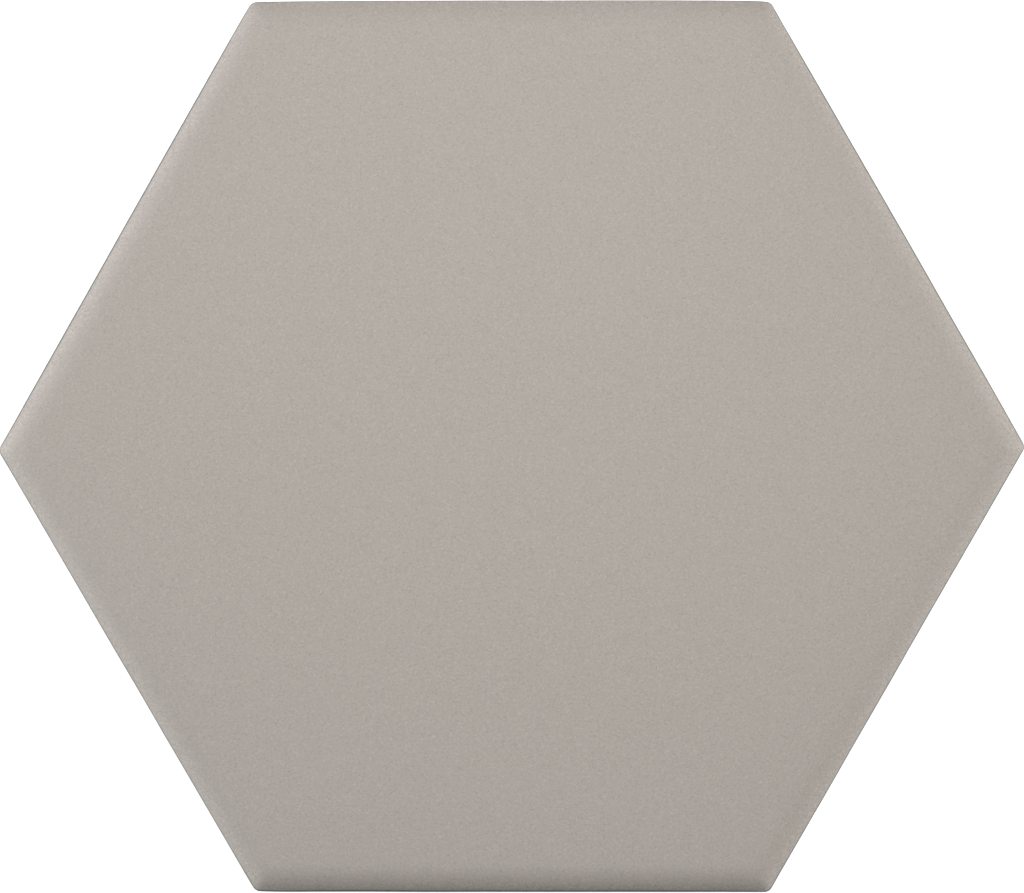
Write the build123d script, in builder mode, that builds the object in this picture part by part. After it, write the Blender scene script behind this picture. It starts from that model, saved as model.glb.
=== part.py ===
"""Hexagonal porcelain tile with cushioned edges and a keyed back, dry pressed and fired in one piece.

The tile lies on its back on the XY plane with its face up. The origin is the centre of the back.
Two opposite sides are square to Y, and two opposite corners lie on X. All sizes are millimetres.
"""

import os
from math import cos, floor, hypot, isclose, pi, sqrt, tan

from build123d import *

# Driving dimensions of the face and the edge
across_flats = 101.0
thickness = 9.0
corner_radius = 1.0
cushion_width = 3.3
cushion_drop = 1.75
nose_radius = 0.6
side_draft = 1.0  # degrees, towards the back

# Driving dimensions of the back
back_bevel = 0.6
back_rim = 5.5
key_across_flats = 9.2
key_corner_radius = 0.9
key_depth = 0.7
key_draft = 20.0  # degrees
rib_width = 2.0

# The edge of the face rolls down on a ball of this radius, starting at the rim of the flat face
cushion_radius = (cushion_width**2 + cushion_drop**2) / (2 * cushion_drop)
flat_face_inradius = across_flats / 2 - cushion_width
cushion_inradius = flat_face_inradius + cushion_radius

# The drafted sides are as wide as the tile where the cushion meets them, a little below the face
mouth_inradius = across_flats / 2 + cushion_drop * tan(side_draft * pi / 180)

# The recessed keys make a honeycomb of whole cells, in rings that are parallel to the sides.
# The cell at each corner of the honeycomb is left out, which keeps the corners of the tile strong.
key_pitch = key_across_flats + rib_width
key_row_pitch = key_pitch * sqrt(3) / 2
key_field_inradius = across_flats / 2 - back_rim
key_rings = floor((key_field_inradius - key_across_flats / 2 / cos(pi / 6)) / key_row_pitch)


def honeycomb_centres(rings, pitch):
    """Centres of a hexagonal cluster of cells, with rows parallel to the sides and no corner cells."""
    centres = []
    for row in range(-rings, rings + 1):
        cells_in_row = 2 * rings + 1 - abs(row)
        first_x = -(cells_in_row - 1) / 2 * pitch
        row_y = row * pitch * sqrt(3) / 2
        centres += [(first_x + column * pitch, row_y) for column in range(cells_in_row)]
    return [(x, y) for x, y in centres if not isclose(hypot(x, y), rings * pitch)]


def is_on_nose_line(edge):
    """True for the edges of the line where the cushion meets the sides, between the face and the back."""
    box = edge.bounding_box()
    return thickness / 2 < box.min.Z and box.max.Z < thickness - cushion_drop / 2


# The cushion: a larger hexagonal block with ball-rounded corners, whose top gives the rolled face
with BuildPart() as cushion:
    with BuildSketch(Plane.XY.offset(thickness)):
        RegularPolygon(cushion_inradius, 6, major_radius=False)
    extrude(amount=-(thickness + cushion_radius))
    side_edges = cushion.edges().filter_by(Axis.Z)
    top_edges = cushion.edges().group_by(Axis.Z)[-1]
    fillet(side_edges + top_edges, radius=cushion_radius)

# One stud of the press plate, which leaves a shallow key with drafted walls for the adhesive bed
with BuildPart() as key_stud:
    with BuildSketch(Plane.XY):
        RegularPolygon(key_across_flats / 2, 6, major_radius=False, rotation=30)
    extrude(amount=key_depth, taper=key_draft)
    wall_corners = key_stud.edges().filter_by(lambda edge: edge.bounding_box().size.Z > key_depth / 2)
    fillet(wall_corners, radius=key_corner_radius)

# The tile: drafted hexagonal sides under the cushion, with a small nose where they meet
with BuildPart() as tile:
    with BuildSketch(Plane.XY.offset(thickness)) as outline:
        RegularPolygon(mouth_inradius, 6, major_radius=False)
        fillet(outline.vertices(), radius=corner_radius)
    extrude(amount=-thickness, taper=side_draft)
    add(cushion.part, mode=Mode.INTERSECT)

    # The nose follows the closed line where the cushion meets the sides
    nose_edges = tile.edges().filter_by(is_on_nose_line)
    fillet(nose_edges, radius=nose_radius)

    # The bevel runs round the foot of the sides
    chamfer(tile.faces().sort_by(Axis.Z)[0].edges(), length=back_bevel)

    # The keys are pressed into the back, one for each cell of the honeycomb
    with Locations(*honeycomb_centres(key_rings, key_pitch)):
        add(key_stud.part, mode=Mode.SUBTRACT)

tile.part.label = "tile"

os.makedirs("parts", exist_ok=True)
export_step(tile.part, "parts/tile.step")
print("rings of keys", key_rings, "cells", len(honeycomb_centres(key_rings, key_pitch)))
print("faces", len(tile.faces()), "volume", tile.part.volume)
print("box", tile.part.bounding_box())
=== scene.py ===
"""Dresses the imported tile: its fired shape, matt glaze and keyed back, on a pale table under soft lamps.

Shapes are worked out in millimetres, in the frame of the part, and turned into metres as they are made.
"""

from math import atan2, ceil, cos, exp, floor, pi, radians, sin, tan

import bmesh
import bpy
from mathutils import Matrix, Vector, noise
from mathutils.geometry import delaunay_2d_cdt


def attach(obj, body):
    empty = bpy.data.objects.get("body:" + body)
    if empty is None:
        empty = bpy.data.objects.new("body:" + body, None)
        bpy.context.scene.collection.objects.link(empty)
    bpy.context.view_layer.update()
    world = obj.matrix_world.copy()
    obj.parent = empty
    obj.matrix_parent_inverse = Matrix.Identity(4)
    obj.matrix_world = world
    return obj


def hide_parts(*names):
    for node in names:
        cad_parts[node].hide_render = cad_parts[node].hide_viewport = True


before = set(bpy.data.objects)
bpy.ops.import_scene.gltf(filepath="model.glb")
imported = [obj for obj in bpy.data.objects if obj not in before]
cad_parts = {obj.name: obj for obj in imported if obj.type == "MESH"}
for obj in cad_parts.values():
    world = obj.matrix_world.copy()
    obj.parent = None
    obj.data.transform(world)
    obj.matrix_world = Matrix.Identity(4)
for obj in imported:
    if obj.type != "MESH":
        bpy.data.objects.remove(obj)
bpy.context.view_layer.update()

MM = 0.001

# Sizes of the tile, as in the solid
across_flats = 101.0
thickness = 9.0
corner_radius = 1.0
cushion_width = 3.3
side_draft = radians(1.0)
back_bevel = 0.6
key_across_flats = 9.2
key_corner_radius = 0.9
key_depth = 0.7
key_draft = radians(20.0)
rib_width = 2.0
key_rings = 4

# The nose: the height at which the cushion meets the side of the pressed tile, and how far the soft bend
# between the two reaches inwards over the roll and down the side
nose_z = 7.25
nose_reach = 0.13
nose_tangent = 0.2

# The roll as fired. How far it has dropped, a distance away from the flat face, is a parabola that a fifth
# power steepens at the side. Both differ a little from side to side: the side that faces +Y is the
# gentlest and the one that faces -Y the steepest. The face has a very slight crown, over this width inside
# the sides.
roll_bend = {30: 0.102, 90: 0.077, 150: 0.094, 210: 0.106, 270: 0.103, 330: 0.108}
roll_steepening = {30: 0.0011, 90: 0.0003, 150: 0.0013, 210: 0.0008, 270: 0.0014, 330: 0.0008}
crown_width = 10.2
crown_factor = 0.0031

# How sharply the rolls and the crown of two sides meet at a corner, and how sharply one side's roll turns
# into the next one's
mitre_sharpness = 150
crown_sharpness = 24
side_change_sharpness = 20

# Softening of the edges of the back, which a press and a kiln never leave sharp
key_edge_tangent = 0.22
bevel_edge_tangent = 0.16

# How finely the surfaces are divided: distances between points, and steps of the bends and the side
edge_spacing = 0.72
face_spacing = 1.25
rim_spacing = 2.2
key_floor_spacing = 1.6
corner_steps = 10
cushion_steps = 13
nose_steps = 5
side_steps = 11
bevel_edge_steps = 3
key_edge_steps = 4
key_corner_steps = 5

# How far the inner points of a plane keep from its border and its holes
face_margin = 0.6
rim_margin = 1.0
key_margin = 0.8
key_floor_margin = 0.7

inradius = across_flats / 2
half_side = inradius * tan(pi / 6)
flat_inradius = inradius - cushion_width
flat_half_side = flat_inradius * tan(pi / 6)

# Just inside the box of the solid, which the fired tile never leaves
widest_x = 58.144
widest_y = inradius - 0.005

# The kiln leaves no side quite straight and no corner quite true. These are the shifts that the photo
# shows: of the corner at each azimuth with the sides that meet there, of the corner's tip alone, and of the
# middle of each side, outwards.
corner_shifts = {0: (-0.11, -0.04), 60: (0.06, -0.03), 120: (-0.36, -0.12), 180: (0.1, -0.47),
                 240: (0.1, 0.02), 300: (-0.02, -0.02)}
tip_shifts = {0: (0.03, 0.0), 60: (0.07, -0.06), 120: (0.015, -0.03), 180: (-0.05, 0.01),
              240: (-0.02, 0.04), 300: (0.02, -0.03)}
tip_width = 1.5
side_bows = {30: 0.065, 90: 0.05, 150: 0.06, 210: -0.02, 270: 0.01, 330: -0.01}

# The unevenness of the sides, the face and the back: how far each is moved at most, and the lengths of its
# waves. The ripples of the sides also change with the height, and have shorter ones between them.
side_waviness = 0.03
side_wave = 9.0
side_wave_height = 14.0
short_side_wave = 2.6
short_side_wave_height = 5.0
face_waviness = 0.05
face_wave = 26.0
back_waviness = 0.03
back_wave = 17.0

# Points closer than this are one point
same_place = 1e-5


def plan_vector(azimuth, length=1.0):
    """The plan vector of that length at an azimuth in degrees, from +X towards +Y."""
    return Vector((cos(radians(azimuth)) * length, sin(radians(azimuth)) * length))


def hexagon_corner(azimuth, flat_distance):
    """The sharp corner at an azimuth of the hexagon whose sides are at that distance."""
    return plan_vector(azimuth, flat_distance / cos(pi / 6))


def edge_columns():
    """One entry for each column of points round the edge: where it leaves the flat face, where it meets
    the side, and the direction that the side faces. The first is at the middle of a side."""
    columns = []
    straight = half_side - corner_radius * tan(pi / 6)
    count = ceil(2 * straight / edge_spacing)
    for azimuth in range(30, 390, 60):
        outward = plan_vector(azimuth)
        along = plan_vector(azimuth + 90)
        for k in range(count + 1):
            offset = straight * (2 * k / count - 1)
            reach = max(-flat_half_side, min(flat_half_side, offset))
            foot = outward * flat_inradius + along * reach
            columns.append((foot, outward * inradius + along * offset, outward))
        corner = azimuth + 30
        arc_centre = hexagon_corner(corner, inradius - corner_radius)
        foot = hexagon_corner(corner, flat_inradius)
        for k in range(1, corner_steps):
            facing = plan_vector(azimuth + 60 * k / corner_steps)
            columns.append((foot, arc_centre + facing * corner_radius, facing))
    middle = count // 2
    return columns[middle:] + columns[:middle]


def arc_between(start, corner, end, steps):
    """Points of a soft bend from start to end whose tangents meet at the corner, both ends included."""
    points = []
    for k in range(steps + 1):
        t = k / steps
        points.append(start * (1 - t) ** 2 + corner * 2 * t * (1 - t) + end * t**2)
    return points


def side_point(mouth, outward, z):
    """The point of the drafted side at that height, below the point where it meets the cushion."""
    point = mouth - outward * (nose_z - z) * tan(side_draft)
    return Vector((*point, z))


def soft_distance(plan, sharpness):
    """Distance of a plan point from the middle, square to the nearest side. Near a corner the change from
    side to side is softened, over less the larger the sharpness."""
    sides = [max(0.0, plan.dot(plan_vector(azimuth))) for azimuth in range(30, 390, 60)]
    return sum((side / inradius) ** sharpness for side in sides) ** (1 / sharpness) * inradius


def value_at(plan, side_values):
    """The value of the nearest side, changing gently from side to side near a corner."""
    reaches = {azimuth: max(0.0, plan.dot(plan_vector(azimuth)) / inradius) for azimuth in side_values}
    shares = {azimuth: reach**side_change_sharpness for azimuth, reach in reaches.items()}
    return sum(share * side_values[azimuth] for azimuth, share in shares.items()) / sum(shares.values())


def edge_profile(column):
    """The points of one column, from the flat face over the cushion, nose, side and bevel to the back."""
    foot, mouth, outward = column
    span = mouth - foot
    run = span.length
    rolled = run - nose_reach

    def on_cushion(distance):
        plan = foot + span * (distance / run)
        rolled_over = max(0.0, soft_distance(plan, mitre_sharpness) - flat_inradius)
        drop = value_at(plan, roll_bend) * rolled_over**2 + value_at(plan, roll_steepening) * rolled_over**5
        return Vector((*plan, thickness - drop))

    brink = on_cushion(run)
    points = [on_cushion(k / cushion_steps * rolled) for k in range(cushion_steps)]
    side_top = side_point(mouth, outward, brink.z - nose_tangent)
    points += arc_between(on_cushion(rolled), side_point(mouth, outward, brink.z), side_top, nose_steps)
    drop = side_top.z - (back_bevel + bevel_edge_tangent)
    points += [side_point(mouth, outward, side_top.z - drop * k / side_steps) for k in range(1, side_steps)]

    bevel_top = side_point(mouth, outward, back_bevel)
    bevel_foot = side_point(mouth - outward * back_bevel, outward, 0.0)
    slope = (bevel_foot - bevel_top).normalized() * bevel_edge_tangent
    level = Vector((*outward, 0)) * bevel_edge_tangent
    rise = Vector((0, 0, bevel_edge_tangent))
    points += arc_between(bevel_top + rise, bevel_top, bevel_top + slope, bevel_edge_steps)
    points += arc_between(bevel_foot - slope, bevel_foot, bevel_foot - level, bevel_edge_steps)
    return points


def key_centres():
    """Centres of the keys: a honeycomb with rows parallel to the sides, without its six corner cells."""
    pitch = key_across_flats + rib_width
    centres = []
    for row in range(-key_rings, key_rings + 1):
        cells = 2 * key_rings + 1 - abs(row)
        for cell in range(cells):
            centre = Vector(((cell - (cells - 1) / 2) * pitch, row * pitch * cos(pi / 6)))
            if centre.length < key_rings * pitch - rib_width:
                centres.append(centre)
    return centres


def key_ring(centre, inset, z):
    """The rounded hexagon round a key, that far inside its mouth, as points at one height."""
    radius = key_corner_radius - inset
    arc_distance = key_across_flats / 2 - inset - radius
    plan_points = []
    for corner in range(30, 390, 60):
        arc_centre = centre + hexagon_corner(corner, arc_distance)
        for k in range(key_corner_steps + 1):
            facing = plan_vector(corner - 30 + 60 * k / key_corner_steps)
            plan_points.append(arc_centre + facing * radius)
        next_arc_centre = centre + hexagon_corner(corner + 60, arc_distance)
        next_arc_start = next_arc_centre + plan_vector(corner + 30) * radius
        plan_points.append(plan_points[-1].lerp(next_arc_start, 0.5))
    return [Vector((*point, z)) for point in plan_points]


def key_profile():
    """How far inside the mouth of a key, and how high, each of its rings lies."""
    wall_inset = key_depth * tan(key_draft)
    wall = Vector((wall_inset, key_depth)).normalized() * key_edge_tangent
    mouth = Vector((0, 0))
    floor_edge = Vector((wall_inset, key_depth))
    level = Vector((key_edge_tangent, 0))
    points = arc_between(mouth - level, mouth, mouth + wall, key_edge_steps)
    points += arc_between(floor_edge - wall, floor_edge, floor_edge + level, key_edge_steps)
    return points


def lattice(spacing, flat_distance):
    """Points of a triangular lattice that fills the square round a hexagon with sides at that distance."""
    half_width = flat_distance / cos(pi / 6)
    rows = ceil(half_width / (spacing * cos(pi / 6)))
    across = ceil(half_width / spacing) + 1
    return [Vector(((column + row % 2 / 2) * spacing, row * spacing * cos(pi / 6)))
            for row in range(-rows, rows + 1) for column in range(-across, across + 1)]


def hexagon_distance(point):
    """Distance of a plan point from the middle, measured square to the nearest side of the tile."""
    return max(point.dot(plan_vector(azimuth)) for azimuth in range(30, 390, 60))


def cell_distance(point):
    """Distance of a plan point from the middle of a key, measured square to the key's nearest side."""
    return max(point.dot(plan_vector(azimuth)) for azimuth in range(0, 360, 60))


def fill(bm, loops, inner_points, z, upwards):
    """Fills the plane between an outer loop and the holes with triangles that use the inner points."""
    verts = [vert for loop in loops for vert in loop]
    owner = [k for k, loop in enumerate(loops) for _ in loop]
    verts += [bm.verts.new((*point, z)) for point in inner_points]
    owner += [-1] * len(inner_points)
    first = 0
    rings = []
    for loop in loops:
        rings.append(list(range(first, first + len(loop))))
        first += len(loop)
    edges = [(ring[k], ring[(k + 1) % len(ring)]) for ring in rings for k in range(len(ring))]
    filled_inside_rings = 1
    made = delaunay_2d_cdt([vert.co.xy for vert in verts], edges, [rings[0]], filled_inside_rings, same_place)
    triangles, sources = made[2], made[3]
    for triangle in triangles:
        corners = [sources[k][0] for k in triangle]
        owners = {owner[k] for k in corners}
        # A triangle between points of one hole lies inside it, and the hole stays open
        if len(owners) == 1 and owners.pop() > 0:
            continue
        a, b, c = [verts[k] for k in corners]
        turn = (b.co.xy - a.co.xy).cross(c.co.xy - a.co.xy)
        bm.faces.new((a, b, c) if (turn > 0) == upwards else (c, b, a))


def ring_of(bm, points):
    """One vertex for each point in turn. Neighbours in one place share theirs."""
    ring = []
    for point in points:
        if ring and (ring[-1].co - point).length < same_place:
            ring.append(ring[-1])
        else:
            ring.append(bm.verts.new(point))
    return ring


def bridge(bm, ring, next_ring):
    """Quads between two rings of as many points. A quad with two points in one place becomes a triangle."""
    count = len(ring)
    for k in range(count):
        quad = (ring[k], next_ring[k], next_ring[(k + 1) % count], ring[(k + 1) % count])
        corners = list(dict.fromkeys(quad))
        if len(corners) > 2:
            bm.faces.new(corners)


def build_edge(bm):
    """The cushion, nose, side and bevel. Returns the loops that the face and the back are filled from."""
    profiles = [edge_profile(column) for column in edge_columns()]
    rings = [ring_of(bm, level) for level in zip(*profiles)]
    for upper, lower in zip(rings, rings[1:]):
        bridge(bm, upper, lower)
    return list(dict.fromkeys(rings[0])), rings[-1]


def build_key(bm, centre):
    """One key, from its softened mouth to its floor. Returns its mouth."""
    profile = key_profile()
    rings = [ring_of(bm, key_ring(centre, inset, z)) for inset, z in profile]
    for outer, inner in zip(rings, rings[1:]):
        bridge(bm, outer, inner)
    floor_flat = key_across_flats / 2 - profile[-1].x
    inner_points = [centre + point for point in lattice(key_floor_spacing, floor_flat)
                    if cell_distance(point) < floor_flat - key_floor_margin]
    fill(bm, [rings[-1]], inner_points, key_depth, False)
    return rings[0]


def crown_drop(plan):
    """How far the crown of the face has dropped there."""
    return crown_factor * max(0.0, soft_distance(plan, crown_sharpness) - (inradius - crown_width)) ** 2


def wave_at(plan, wave, layer):
    """A smooth wave from 0 to 1 over the plan. Each layer has its own."""
    return 0.5 + 0.5 * noise.noise(Vector((*plan / wave, layer)))


def side_ripple(point):
    """The ripple of the sides there, from about -1.5 to 1."""
    long_wave = noise.noise(Vector((*point.xy / side_wave, point.z / side_wave_height)))
    short_wave = noise.noise(Vector((*point.xy / short_side_wave, point.z / short_side_wave_height)))
    return long_wave - 0.5 * abs(short_wave)


def fired(point):
    """Where the kiln has moved a point of the pressed shape. It never moves out of the pressed box."""
    plan = point.xy
    first = 60 * (floor(atan2(plan.y, plan.x) / (pi / 3)) % 6)
    second = (first + 60) % 360
    corner_a = hexagon_corner(first, inradius)
    corner_b = hexagon_corner(second, inradius)
    area = corner_a.cross(corner_b)
    share_a = plan.cross(corner_b) / area
    share_b = corner_a.cross(plan) / area
    moved = plan + Vector(corner_shifts[first]) * share_a + Vector(corner_shifts[second]) * share_b

    out = share_a + share_b
    side_azimuth = first + 30
    along = 2 * (share_b / out - 0.5) if out > 0 else 0.0
    bow = side_bows[side_azimuth] * (1 - along**2) * out**2
    moved += plan_vector(side_azimuth) * (bow + side_waviness * side_ripple(point) * out**8)

    tip = first if share_a > share_b else second
    from_tip = (plan - hexagon_corner(tip, inradius)).length
    moved += Vector(tip_shifts[tip]) * exp(-((from_tip / tip_width) ** 2))
    moved.x = max(-widest_x, min(widest_x, moved.x))
    moved.y = max(-widest_y, min(widest_y, moved.y))

    height = point.z / thickness
    sink = face_waviness * wave_at(plan, face_wave, 3.0) * height**2
    sink += crown_drop(plan) * min(1.0, point.z / nose_z)
    lift = back_waviness * wave_at(plan, back_wave, 9.0) * (1 - height) ** 8
    return Vector((*moved, point.z - sink + lift))


def object_from(bm, name):
    """A new object in the scene, with the shape of the finished bmesh."""
    mesh = bpy.data.meshes.new(name)
    bm.to_mesh(mesh)
    bm.free()
    made = bpy.data.objects.new(name, mesh)
    bpy.context.scene.collection.objects.link(made)
    return made


def build_tile():
    """The tile as one closed mesh."""
    bm = bmesh.new()
    face_loop, back_loop = build_edge(bm)
    face_points = [point for point in lattice(face_spacing, inradius)
                   if hexagon_distance(point) < flat_inradius - face_margin]
    fill(bm, [face_loop], face_points, thickness, True)

    centres = key_centres()
    mouths = [build_key(bm, centre) for centre in centres]
    rim_inradius = inradius - back_bevel - nose_z * tan(side_draft)
    clear_of_keys = key_across_flats / 2 + key_edge_tangent + key_margin
    rim_points = [point for point in lattice(rim_spacing, inradius)
                  if hexagon_distance(point) < rim_inradius - rim_margin
                  and min(cell_distance(point - centre) for centre in centres) > clear_of_keys]
    fill(bm, [back_loop, *mouths], rim_points, 0.0, False)

    for vert in bm.verts:
        vert.co = fired(vert.co) * MM
    bmesh.ops.recalc_face_normals(bm, faces=bm.faces)
    made = object_from(bm, "fired_tile")
    made.data.polygons.foreach_set("use_smooth", [True] * len(made.data.polygons))
    return made


def node(tree, kind, inputs=None, **settings):
    """A new node. Each input is a number, a colour or the output of another node."""
    made = tree.nodes.new(kind)
    for name, value in settings.items():
        setattr(made, name, value)
    for name, value in (inputs or {}).items():
        if isinstance(value, bpy.types.NodeSocket):
            tree.links.new(value, made.inputs[name])
        else:
            made.inputs[name].default_value = value
    return made


def new_material(name):
    """An empty node material. Returns it and its tree."""
    material = bpy.data.materials.new(name)
    material.use_nodes = True
    material.node_tree.nodes.clear()
    return material, material.node_tree


def calculated(tree, operation, first, second=0.0, third=0.0, clamp=False):
    """The result of a Math node."""
    inputs = {0: first, 1: second, 2: third}
    return node(tree, "ShaderNodeMath", inputs, operation=operation, use_clamp=clamp).outputs[0]


def times_plus(tree, value, factor, added):
    """The value times the factor, plus what is added."""
    return calculated(tree, "MULTIPLY_ADD", value, factor, added)


def spread(tree, value, low, high, to_low, to_high):
    """A value from low to high, mapped smoothly from to_low to to_high and held at both ends."""
    made = node(tree, "ShaderNodeMapRange",
                {"Value": value, "From Min": low, "From Max": high, "To Min": to_low, "To Max": to_high},
                interpolation_type="SMOOTHSTEP")
    return made.outputs["Result"]


def scaled(tree, colour, tone):
    """A fixed colour, darkened or lightened by a tone that changes over the surface."""
    inputs = {0: colour[:3], "Scale": tone}
    return node(tree, "ShaderNodeVectorMath", inputs, operation="SCALE").outputs[0]


def mixed(tree, share, first, second):
    """The first colour, and the second where the share is 1."""
    inputs = {"Factor": share, "A": first, "B": second}
    return node(tree, "ShaderNodeMix", inputs, data_type="RGBA").outputs[2]


def noise_of(tree, place, size_mm, detail=2.0, roughness=0.5, offset=0.0):
    """Smooth noise from 0 to 1 whose grains are about that size. Another offset gives other grains."""
    if offset:
        shift = {0: place, 1: (offset, offset, offset)}
        place = node(tree, "ShaderNodeVectorMath", shift, operation="ADD").outputs[0]
    inputs = {"Vector": place, "Scale": 1 / (size_mm * MM), "Detail": detail, "Roughness": roughness}
    return node(tree, "ShaderNodeTexNoise", inputs).outputs["Fac"]


def grains_of(tree, place, size_mm):
    """A random value from 0 to 1 for each grain of about that size."""
    made = node(tree, "ShaderNodeTexVoronoi", {"Vector": place, "Scale": 1 / (size_mm * MM)})
    return node(tree, "ShaderNodeSeparateColor", {"Color": made.outputs["Color"]}).outputs["Red"]


# Colours of the glaze, of the painted shade line round the nose, of the bare body and of the kiln wash
glaze_colour = (0.445, 0.407, 0.366, 1)
painted_nose_shade_colour = (0.095, 0.12, 0.105, 1)
body_colour = (0.47, 0.44, 0.395, 1)
wash_colour = (0.78, 0.765, 0.735, 1)

# Gloss, and the height of the fine relief
glaze_roughness = 0.62
body_roughness = 0.86
specular_level = 0.4
relief_height = 0.02 * MM

# Sizes in millimetres of the grains, the mottle and the clouds of the glaze, and of the specks of the body
glaze_grain = 0.14
glaze_mottle = 3.0
glaze_cloud = 22.0
body_speck = 0.3
body_patch = 7.0

# Heights between which the glaze ends on the side, and how much its edge wanders
glaze_ends = 6.2 * MM
glaze_begins = 7.4 * MM
glaze_edge_wander = 2.4 * MM

# Heights over which the kiln wash fades away from the plane of the ribs
wash_full = 0.05 * MM
wash_gone = 0.3 * MM


def glaze_tone_and_roll_highlight_of(tree, place, facing_up, mottle):
    """How light the glaze is: fine matt grains with a faint mottle and faint clouds. On the roll the grains
    are made stronger, as painted glints, and the glaze a little paler, as a painted highlight."""
    roll_painted_highlight_share = spread(tree, facing_up, 0.74, 0.97, 1.0, 0.0)
    grain = times_plus(tree, grains_of(tree, place, glaze_grain), 2.0, -1.0)
    contrast = calculated(tree, "POWER", grain, 3.0)
    # Painted glints: the grains are made stronger where the surface slopes over the roll
    tone = times_plus(tree, contrast, times_plus(tree, roll_painted_highlight_share, 0.12, 0.15), 1.0)
    tone = times_plus(tree, mottle, 0.03, tone)
    tone = times_plus(tree, noise_of(tree, place, glaze_cloud, 1.0), 0.016, tone)
    # Painted highlight: the glaze is made a little paler on the roll
    tone = times_plus(tree, roll_painted_highlight_share, 0.04, tone)
    mean_of_mottle_and_clouds = 0.023
    return calculated(tree, "SUBTRACT", tone, mean_of_mottle_and_clouds)


def glaze_material():
    """Matt glaze on the face and over the nose, with a painted shade line round the nose and a painted
    highlight on the roll, bare fired body below it, kiln wash on the ribs.
    """
    material, tree = new_material("matt_glaze")
    surface = node(tree, "ShaderNodeTexCoord")
    place = surface.outputs["Object"]
    height = node(tree, "ShaderNodeSeparateXYZ", {"Vector": place}).outputs["Z"]
    facing_up = node(tree, "ShaderNodeSeparateXYZ", {"Vector": surface.outputs["Normal"]}).outputs["Z"]

    # The spray of glaze ends on the side, a little lower here and higher there
    wander = noise_of(tree, place, 5.0, 3.0, 0.6)
    glaze_line = times_plus(tree, wander, glaze_edge_wander, height)
    glazed = spread(tree, glaze_line, glaze_ends, glaze_begins, 0.0, 1.0)
    mottle = noise_of(tree, place, glaze_mottle, 3.0, 0.55)
    glaze = scaled(tree, glaze_colour, glaze_tone_and_roll_highlight_of(tree, place, facing_up, mottle))

    # Painted shade: a dark line round the nose, between the roll and the side, where the surface turns down
    # away from the light
    off_roll = spread(tree, facing_up, 0.57, 0.66, 1.0, 0.0)
    off_side = spread(tree, facing_up, 0.02, 0.2, 0.0, 1.0)
    glaze = mixed(tree, calculated(tree, "MULTIPLY", off_roll, off_side), glaze, painted_nose_shade_colour)

    # Body: pressed powder with fine light and dark specks
    patch = noise_of(tree, place, body_patch, 3.0, 0.6, 1.3)
    body_tone = times_plus(tree, grains_of(tree, place, body_speck), 0.3, 0.79)
    body = scaled(tree, body_colour, times_plus(tree, patch, 0.12, body_tone))

    # Kiln wash: a chalky film, left where the ribs and the rim stood on the kiln's rollers
    on_ribs = spread(tree, height, wash_full, wash_gone, 1.0, 0.0)
    rubbed = spread(tree, noise_of(tree, place, 2.2, 4.0, 0.65, 2.1), 0.38, 0.62, 0.25, 0.85)
    body = mixed(tree, calculated(tree, "MULTIPLY", on_ribs, rubbed), body, wash_colour)

    # Relief: low and soft in the glaze, coarser in the body
    glaze_relief = calculated(tree, "MULTIPLY", mottle, 0.6)
    glaze_relief = times_plus(tree, noise_of(tree, place, 0.3, 1.0), 0.8, glaze_relief)
    body_relief = times_plus(tree, noise_of(tree, place, 0.35, 2.0, 0.7), 1.6, patch)
    reliefs = {"Factor": glazed, "A": body_relief, "B": glaze_relief}
    relief = node(tree, "ShaderNodeMix", reliefs, data_type="FLOAT").outputs[0]
    bump = node(tree, "ShaderNodeBump", {"Strength": 1.0, "Distance": relief_height, "Height": relief})

    shader = node(tree, "ShaderNodeBsdfPrincipled", {
        "Base Color": mixed(tree, glazed, body, glaze),
        "Roughness": spread(tree, glazed, 0.0, 1.0, body_roughness, glaze_roughness),
        "Specular IOR Level": specular_level,
        "Normal": bump.outputs["Normal"]})
    node(tree, "ShaderNodeOutputMaterial", {"Surface": shader.outputs[0]})
    return material


def seen_directly(tree):
    """1 for a ray that shows the background: from the camera, a mirror reflection or through glass."""
    path = node(tree, "ShaderNodeLightPath")
    seen = calculated(tree, "ADD", path.outputs["Is Camera Ray"], path.outputs["Is Glossy Ray"])
    return calculated(tree, "ADD", seen, path.outputs["Is Transmission Ray"], clamp=True)


def table_material():
    """A pale table that looks white where no shadow falls."""
    material, tree = new_material("pale_table")
    place = node(tree, "ShaderNodeTexCoord").outputs["Object"]
    tooth = noise_of(tree, place, 1.5, 2.0)
    tone = spread(tree, tooth, 0.2, 0.8, 0.43, 0.46)
    colour = node(tree, "ShaderNodeCombineColor", {"Red": tone, "Green": tone, "Blue": tone})
    diffuse = node(tree, "ShaderNodeBsdfDiffuse", {"Color": colour.outputs[0]})
    whiteness = calculated(tree, "MULTIPLY", seen_directly(tree), 0.94)
    white = node(tree, "ShaderNodeEmission", {"Strength": whiteness})
    both = node(tree, "ShaderNodeAddShader", {0: diffuse.outputs[0], 1: white.outputs[0]})
    node(tree, "ShaderNodeOutputMaterial", {"Surface": both.outputs[0]})
    return material


def build_table():
    """A wide table with an opening under the tile, smaller than its foot, so that its back can be seen."""
    half_width = 2000.0
    opening_inradius = inradius - 3.0
    gap_under_tile = 0.05
    quarters = ((1, 1), (-1, 1), (-1, -1), (1, -1))
    outer = [Vector((x * half_width, y * half_width, 0)) * MM for x, y in quarters]
    inner = [Vector((*hexagon_corner(azimuth, opening_inradius), 0)) * MM for azimuth in range(0, 360, 60)]
    bm = bmesh.new()
    loops = [[bm.verts.new(point) for point in loop] for loop in (outer, inner)]
    fill(bm, loops, [], 0.0, True)
    table = object_from(bm, "table")
    table.location.z = -gap_under_tile * MM
    table.data.materials.append(table_material())


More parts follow.
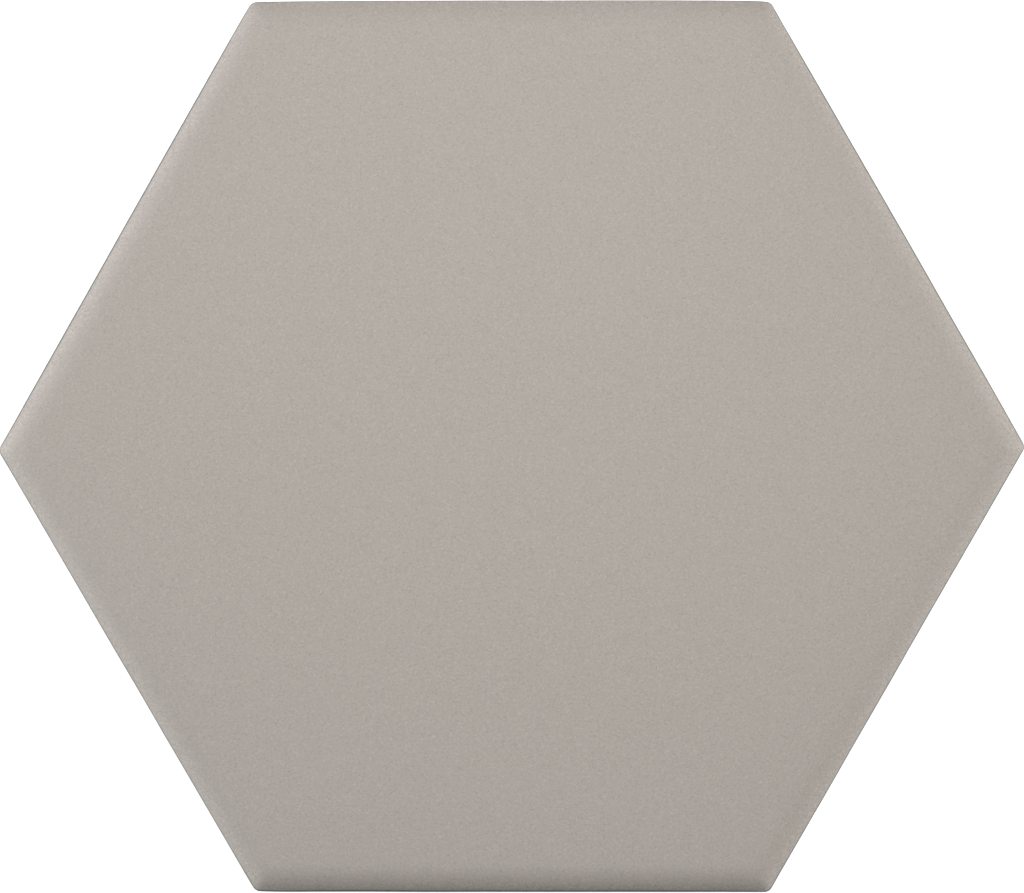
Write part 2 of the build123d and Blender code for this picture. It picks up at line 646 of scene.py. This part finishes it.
def build_world():
    """No light but that of the lamps. Seen directly, or in a reflection, the world is pale grey."""
    world = bpy.data.worlds.new("studio")
    world.use_nodes = True
    tree = world.node_tree
    tree.nodes.clear()
    pale_grey = (0.8, 0.8, 0.8, 1)
    background = node(tree, "ShaderNodeBackground", {"Color": pale_grey, "Strength": seen_directly(tree)})
    node(tree, "ShaderNodeOutputWorld", {"Surface": background.outputs[0]})
    bpy.context.scene.world = world


def add_softbox(name, azimuth, elevation, distance, size, power, colour):
    """A square soft lamp that faces the tile, from under the table when its elevation is negative."""
    lamp = bpy.data.lights.new(name, "AREA")
    lamp.shape = "SQUARE"
    lamp.size = size
    lamp.energy = power
    lamp.color = colour
    softbox = bpy.data.objects.new(name, lamp)
    out = plan_vector(azimuth, distance * cos(radians(elevation)))
    softbox.location = (*out, distance * sin(radians(elevation)))
    softbox.rotation_euler = Vector(softbox.location).to_track_quat("Z", "Y").to_euler()
    softbox.visible_camera = False
    bpy.context.scene.collection.objects.link(softbox)


def add_camera():
    """A long lens straight above the tile, as far away as fills the picture from side to side."""
    camera = bpy.data.cameras.new("camera")
    camera.lens = 135
    camera.sensor_width = 36
    picture_width = 115.98 * MM
    height = picture_width * camera.lens / camera.sensor_width + nose_z * MM
    eye = bpy.data.objects.new("camera", camera)
    eye.location = (0, 0, height)
    bpy.context.scene.collection.objects.link(eye)
    bpy.context.scene.camera = eye


tile = build_tile()
tile.data.materials.append(glaze_material())
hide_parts("tile")
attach(tile, "root")

build_table()
build_world()

# Name, azimuth and elevation in degrees, distance and size in metres, power in watts, and colour
softboxes = [
    ("left", 180, 12, 0.7, 0.35, 3.7, (0.965, 0.98, 1)),
    ("right", 0, 12, 0.7, 0.35, 3.69, (0.99, 0.975, 1)),
    ("upper_left", 135, 30, 0.7, 0.35, 1.11, (0.82, 0.75, 1)),
    ("top", 90, 70, 0.25, 0.12, 0.165, (0.98, 1, 0.78)),
    ("overhead", 90, 84, 0.3, 0.15, 0.295, (0.92, 0.92, 1)),
    ("below", 120, -50, 0.5, 0.35, 3.2, (1, 1, 1)),
]
for softbox in softboxes:
    add_softbox(*softbox)
add_camera()

bpy.context.scene.view_settings.view_transform = "Standard"
